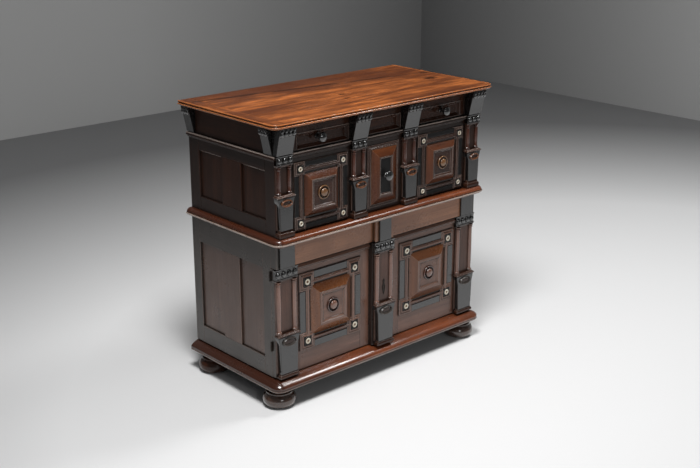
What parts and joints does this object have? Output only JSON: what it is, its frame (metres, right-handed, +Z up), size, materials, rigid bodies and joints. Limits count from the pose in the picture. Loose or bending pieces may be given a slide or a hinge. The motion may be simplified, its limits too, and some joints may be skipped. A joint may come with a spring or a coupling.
{
  "type": "highboard cabinet",
  "caption": "Antique stacked highboard with moulded geometric fronts, split-turned pilasters, drawers above a hinged-door cupboard, and bun feet.",
  "frame": {"origin": "on the floor, at the middle of the bounding box", "axes": "+X along the front towards its right-hand end, +Y from the front to the back, +Z up"},
  "size_m": [1.235, 0.634, 1.2],
  "materials": {
    "top_walnut": "waxed, satin",
    "dark_wood": "dark stained, satin",
    "reddish_walnut": "polished",
    "ebonised_wood": "black, high polish",
    "inner_wood": "plain, unpolished",
    "old_iron": "dark, worn"
  },
  "bodies": {
    "carcass": {"top_board": "top_walnut", "upper_left_side": "dark_wood", "upper_right_side": "dark_wood", "upper_back": "inner_wood", "drawer_divider": "inner_wood", "string_moulding": "dark_wood", "mid_shelf": "reddish_walnut", "lower_left_frame": "dark_wood", "lower_right_frame": "dark_wood", "lower_left_front_panel": "dark_wood", "lower_left_rear_panel": "dark_wood", "lower_right_front_panel": "dark_wood", "lower_right_rear_panel": "dark_wood", "lower_back": "inner_wood", "lower_frieze_rail": "reddish_walnut", "cupboard_shelf": "inner_wood", "base_plinth": "reddish_walnut", "front_left_foot": "ebonised_wood", "front_right_foot": "ebonised_wood", "rear_left_foot": "ebonised_wood", "rear_right_foot": "ebonised_wood", "front_left_corbel": "ebonised_wood", "front_right_corbel": "ebonised_wood", "left_front_side_corbel": "ebonised_wood", "left_rear_side_corbel": "ebonised_wood", "right_front_side_corbel": "ebonised_wood", "right_rear_side_corbel": "ebonised_wood", "upper_left_pilaster": "ebonised_wood", "upper_right_pilaster": "ebonised_wood", "left_lower_hinge_fixed_leaf": "old_iron", "left_upper_hinge_fixed_leaf": "old_iron", "right_lower_hinge_fixed_leaf": "old_iron", "right_upper_hinge_fixed_leaf": "old_iron"},
    "frieze_drawer": {"frieze_drawer_front": "dark_wood", "frieze_drawer_box": "inner_wood", "frieze_left_knob": "ebonised_wood", "frieze_right_knob": "ebonised_wood"},
    "deep_drawer": {"deep_drawer_front": "dark_wood", "deep_drawer_box": "inner_wood", "drawer_left_square": "reddish_walnut", "drawer_right_square": "reddish_walnut", "drawer_centre_panel": "reddish_walnut", "drawer_left_pilaster": "ebonised_wood", "drawer_right_pilaster": "ebonised_wood", "deep_drawer_knob": "ebonised_wood"},
    "left_door": {"left_door": "reddish_walnut", "left_door_square": "reddish_walnut", "left_door_pilaster": "ebonised_wood", "left_lower_hinge_door_leaf": "old_iron", "left_upper_hinge_door_leaf": "old_iron"},
    "right_door": {"right_door": "reddish_walnut", "right_door_square": "reddish_walnut", "right_door_pilaster": "ebonised_wood", "door_astragal": "reddish_walnut", "centre_pilaster": "ebonised_wood", "escutcheon": "old_iron", "lock_case": "old_iron", "right_lower_hinge_door_leaf": "old_iron", "right_upper_hinge_door_leaf": "old_iron"},
    "lock_bolt": {"lock_bolt": "old_iron"}
  },
  "joints": [
    {"name": "frieze_drawer_slide", "type": "slide", "parent": "carcass", "child": "frieze_drawer", "axis": [0, -1, 0], "range_m": [0, 0.4]},
    {"name": "deep_drawer_slide", "type": "slide", "parent": "carcass", "child": "deep_drawer", "axis": [0, -1, 0], "range_m": [0, 0.4]},
    {"name": "left_door_hinge", "type": "hinge", "parent": "carcass", "child": "left_door", "pos_m": [-0.5769, -0.2195, 0.3696], "axis": [0, 0, -1], "range_deg": [0, 120]},
    {"name": "right_door_hinge", "type": "hinge", "parent": "carcass", "child": "right_door", "pos_m": [0.5769, -0.2195, 0.3696], "axis": [0, 0, 1], "range_deg": [0, 120]},
    {"name": "lock_bolt_slide", "type": "slide", "parent": "right_door", "child": "lock_bolt", "axis": [-1, 0, 0], "range_m": [0, 0.014]}
  ]
}
